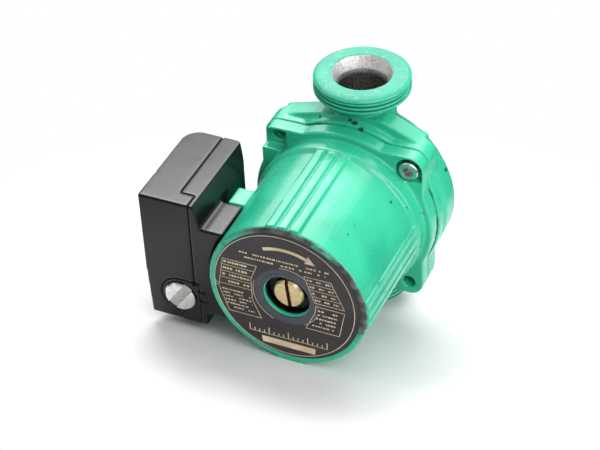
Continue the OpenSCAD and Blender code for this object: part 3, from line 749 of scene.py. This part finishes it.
def label_print():
    """Plain marks of a pump label: a rotation arrow, two tables, a tick scale and a blank strip."""
    p = Print(LABEL_Y - 0.07 * MM)
    # Border and the broken ring round the vent
    p.arc((-1.2, -0.25), 35.7, 0, 360, 0.32, 180)
    p.arc((0, 0), 17.2, 55, 100, 0.28, 24)
    p.arc((0, 0), 17.0, 160, 245, 0.22, 40)
    p.arc((0, 0), 16.8, -60, -20, 0.18, 24)
    # Rotation arrow
    p.arc((0, 0), 28.4, 66, 112, 1.7, 40)
    head = [(26.0, 67), (30.8, 67), (28.4, 57)]
    p.patch([(r * math.cos(math.radians(a)), r * math.sin(math.radians(a))) for r, a in head])
    # Two rows of small filler dashes
    p.words((-23.0, 21.2), (22.0, 21.4), 0.95)
    p.words((-20.5, 18.6), (20.4, 19.0), 0.95, 0.7)
    # Left table and the filler below it
    p.outline([(-32.0, 14.5), (-14.5, 14.5), (-17.8, 6.0), (-17.8, -7.0), (-13.5, -17.5), (-30.5, -17.5),
        (-35.0, -3.0)], 0.26)
    for row in range(4):
        z = 10.8 - row * 4.0
        p.line((-33.0 - row * 0.5, z), (-16.6 - row * 0.4, z), 0.24)
        p.words((-31.6 - row * 0.6, z + 2.0), (-18.4, z + 2.0), 1.3, 0.85)
    for row in range(6):
        z = -4.4 - row * 2.1
        p.words((-33.4 + row * 0.5, z), (-19.4 + row * 0.5, z), 0.85, 0.85)
    # Right table, and the small panel below it
    p.outline([(9.5, 16.0), (23.0, 16.0), (29.5, 1.2), (14.5, 1.2)], 0.26)
    for row in range(4):
        z = 14.2 - row * 3.7
        left = 10.4 + row * 1.25
        if row:
            p.line((left - 0.5, z + 1.85), (23.2 + row * 1.63, z + 1.85), 0.22)
        for column in range(3):
            x = left + 0.6 + column * 4.7
            p.words((x, z), (x + 2.6, z), 1.1, 0.9)
    p.outline([(15.0, -0.8), (29.5, -0.8), (26.5, -16.0), (9.5, -16.0), (14.5, -5.0)], 0.26)
    for row in range(5):
        z = -3.2 - row * 2.5
        p.words((16.0 - max(row - 1, 0) * 1.1, z), (26.0 - row * 0.5, z), 0.85, 0.8)
    # Tick scale
    p.line((-20.0, -26.4), (20.0, -26.4), 0.3)
    for k in range(17):
        x = -20.0 + k * 2.5
        p.line((x, -26.4), (x, -22.6 if k % 4 == 0 else -24.6), 0.5)
    # Blank cream strip
    p.patch([(-14.0, -28.4), (14.0, -28.4), (13.6, -32.0), (-13.6, -32.0)])
    p.piece("label_print", INK, "label")


# ---------------------------------------------------------------- small pieces
def dial_digits():
    """Raised 1, 2 and 3 on an arc beside the speed knob."""
    centre = Vector((KNOB.x, BOX_Y, KNOB.z))
    for text, angle in (("3", 47), ("2", 22), ("1", -3)):
        font = bpy.data.curves.new("digit", "FONT")
        font.body = text
        font.size = 5.0 * MM
        font.extrude = 0.36 * MM
        font.bevel_depth = 0.12 * MM
        font.align_x = "CENTER"
        font.align_y = "CENTER"
        font.resolution_u = 3
        work = bpy.data.objects.new("digit", font)
        bpy.context.scene.collection.objects.link(work)
        bpy.context.view_layer.update()
        mesh = bpy.data.meshes.new_from_object(work.evaluated_get(bpy.context.evaluated_depsgraph_get()))
        bpy.data.objects.remove(work)
        a = math.radians(angle)
        at = centre + Vector((math.cos(a), 0, math.sin(a))) * 12.4 * MM
        mesh.transform(Matrix.Translation(at) @ Matrix.Rotation(math.radians(90), 4, "X")
            @ Matrix.Rotation(math.radians(-90 + angle * 0.3), 4, "Z"))
        new_piece(f"dial_digit_{text}", mesh, BOX_BLACK, "casing")


def floor_normal():
    return Vector((0.0, 0.312, 0.950)).normalized()


# ---------------------------------------------------------------- the object
pump_housing()
motor_housing()
label_print()
dial_digits()

moulded("label_plate", "name_plate", 0.12, 2)
moulded("brass_plug", "vent_plug", 0.45, 3)
moulded("flange_screw_pair", "flange_screws", 0.35, 3)
casting("box_base", "terminal_box_base", 0.42, base_strength, 14, BOX_BLACK)
casting("box_cover", "terminal_box_cover", 0.42, cover_strength, 14, BOX_BLACK)
moulded("switch_plate", "speed_switch_plate", 0.25, 2)
moulded("selector_knob", "speed_knob", 0.45, 4)
moulded("cover_fixing_screw", "cover_screw", 0.25, 2)
moulded("cable_gland_body", "gland_body", 0.3, 2)
moulded("cable_gland_nut", "gland_nut", 0.4, 3)
moulded("wire_terminals", "terminal_block", 0.4, 3)
moulded("terminal_screw_set", "terminal_screws", 0.15, 2)
moulded("earth_screw", "earth_stud", 0.25, 2)
moulded("switch_block", "speed_switch_body", 0.5, 3)
moulded("run_capacitor", "capacitor", 0.5, 3)
moulded("capacitor_band", "capacitor_clip", 0.2, 2)

for node, obj in frame["nodes"].items():
    material = FINISH_OF_NODE.get(node) or FINISH_OF_SLOT[node_facts(node)[1]]
    for index in range(len(obj.material_slots)):
        obj.material_slots[index].link = "OBJECT"
        obj.material_slots[index].material = material


# ---------------------------------------------------------------- stage
# The floor passes through a point, and is round, with a solid part inside a fading edge
FLOOR_STEPS = 96
FLOOR_POINT = Vector((0, -21.5 * MM, -65.2 * MM))
FLOOR_CENTRE = (0.02, 0.02)
FLOOR_INNER, FLOOR_SOLID, FLOOR_SIZE = 0.04, 0.16, 0.27


def floor():
    """A round sheet under the pump, as it lies on its lower port and the motor's front edge."""
    n = floor_normal()
    u = Vector((1, 0, 0))
    v = n.cross(u)
    bm = bmesh.new()
    middle = FLOOR_POINT + u * FLOOR_CENTRE[0] + v * FLOOR_CENTRE[1]
    angles = [2 * math.pi * k / FLOOR_STEPS for k in range(FLOOR_STEPS)]
    rings = [[bm.verts.new(middle + (u * math.cos(a) + v * math.sin(a)) * r) for a in angles]
        for r in (FLOOR_INNER, FLOOR_SOLID, FLOOR_SIZE)]
    bm.faces.new(rings[0])
    for inner, outer in zip(rings, rings[1:]):
        for k in range(FLOOR_STEPS):
            after = (k + 1) % FLOOR_STEPS
            bm.faces.new((inner[k], inner[after], outer[after], outer[k]))
    bmesh.ops.recalc_face_normals(bm, faces=bm.faces)
    obj = bpy.data.objects.new("studio_floor", finish_mesh(bm, "studio_floor", smooth=False))
    bpy.context.scene.collection.objects.link(obj)
    obj.data.materials.append(seamless_floor(FLOOR_SOLID, FLOOR_SIZE * 0.98, (middle.x, middle.y)))


def area(name, place, target, size, power, size_y=None):
    """A square or upright rectangular light, in metres and watts, turned to its target."""
    data = bpy.data.lights.new(name, "AREA")
    data.shape = "RECTANGLE"
    data.size, data.size_y = size, size_y or size
    data.energy = power
    obj = bpy.data.objects.new(name, data)
    bpy.context.scene.collection.objects.link(obj)
    obj.location = place
    obj.rotation_mode = "QUATERNION"
    obj.rotation_quaternion = (Vector(target) - Vector(place)).to_track_quat("-Z", "Y")
    return obj


def studio():
    n = floor_normal()
    centre = Vector((0, -0.04, 0))
    right = Vector((0.915, 0.40, -0.04))
    back = (Vector((-0.33, 0.70, -0.63)) + n * 0.63).normalized()
    area("top_softbox", centre + n * 0.75 + back * 0.30 + right * 0.15, centre, 0.7, 3.6)
    # Lies where upward faces mirror it to the camera
    mirror = Vector((-0.33, 0.70, 0.63))
    area("back_softbox", centre + mirror * 0.85, centre, 0.75, 5.0)
    # A brighter card beside it, whose lower edge shades the top of the terminal box
    across = Vector((0.904, 0.426, 0.0))
    over = Vector((0.268, -0.570, 0.773))
    area("box_card", centre + mirror * 0.85 - across * 0.15 + over * 0.19, centre, 0.32, 2.2)
    area("left_strip", centre - right * 0.8 + n * 0.6 - back * 0.2, centre, 0.35, 1.0, size_y=0.9)
    area("right_fill", centre + right * 0.8 + n * 0.35 - back * 0.5, centre, 0.6, 4.6)
    area("front_fill", centre + n * 0.60 - back * 0.70 + right * 0.20, centre, 0.45, 3.5)
    world = bpy.data.worlds.new("white_room")
    bpy.context.scene.world = world
    world.use_nodes = True
    tree = world.node_tree
    seen = tree.nodes["Background"]
    seen.inputs["Color"].default_value = (1, 1, 1, 1)
    seen.inputs["Strength"].default_value = 1.0
    light = tree.nodes.new("ShaderNodeBackground")
    light.inputs["Color"].default_value = (0.97, 0.985, 1.0, 1)
    # The room is bright overhead and dark near the floor
    toward = tree.nodes.new("ShaderNodeSeparateXYZ")
    tree.links.new(tree.nodes.new("ShaderNodeTexCoord").outputs["Generated"], toward.inputs[0])
    fall = tree.nodes.new("ShaderNodeMapRange")
    for name, number in (("From Min", -0.1), ("From Max", 0.8), ("To Min", 0.08), ("To Max", 0.54)):
        fall.inputs[name].default_value = number
    tree.links.new(toward.outputs["Z"], fall.inputs["Value"])
    tree.links.new(fall.outputs["Result"], light.inputs["Strength"])
    path = tree.nodes.new("ShaderNodeLightPath")
    mix = tree.nodes.new("ShaderNodeMixShader")
    tree.links.new(path.outputs["Is Camera Ray"], mix.inputs[0])
    tree.links.new(light.outputs[0], mix.inputs[1])
    tree.links.new(seen.outputs[0], mix.inputs[2])
    tree.links.new(mix.outputs[0], tree.nodes["World Output"].inputs["Surface"])
    view = bpy.context.scene.view_settings
    view.view_transform = "Standard"
    view.look = "None"


# The camera's place, in metres, its two leading axes and its focal length in millimetres
CAMERA_PLACE = (0.2844, -0.6758, 0.5723)
CAMERA_RIGHT = (0.9151, 0.4015, -0.0371)
CAMERA_BACK = (0.3321, -0.6984, 0.6340)
CAMERA_LENS = 111.0


def camera():
    data = bpy.data.cameras.new("photo_view")
    data.sensor_width = 36.0
    data.lens = CAMERA_LENS
    data.clip_start, data.clip_end = 0.02, 10.0
    obj = bpy.data.objects.new("photo_view", data)
    bpy.context.scene.collection.objects.link(obj)
    right = Vector(CAMERA_RIGHT)
    back = Vector(CAMERA_BACK).normalized()
    up = back.cross(right).normalized()
    right = up.cross(back).normalized()
    turn = Matrix((right, up, back)).transposed().to_4x4()
    obj.matrix_world = Matrix.Translation(CAMERA_PLACE) @ turn
    bpy.context.scene.camera = obj


floor()
studio()
camera()
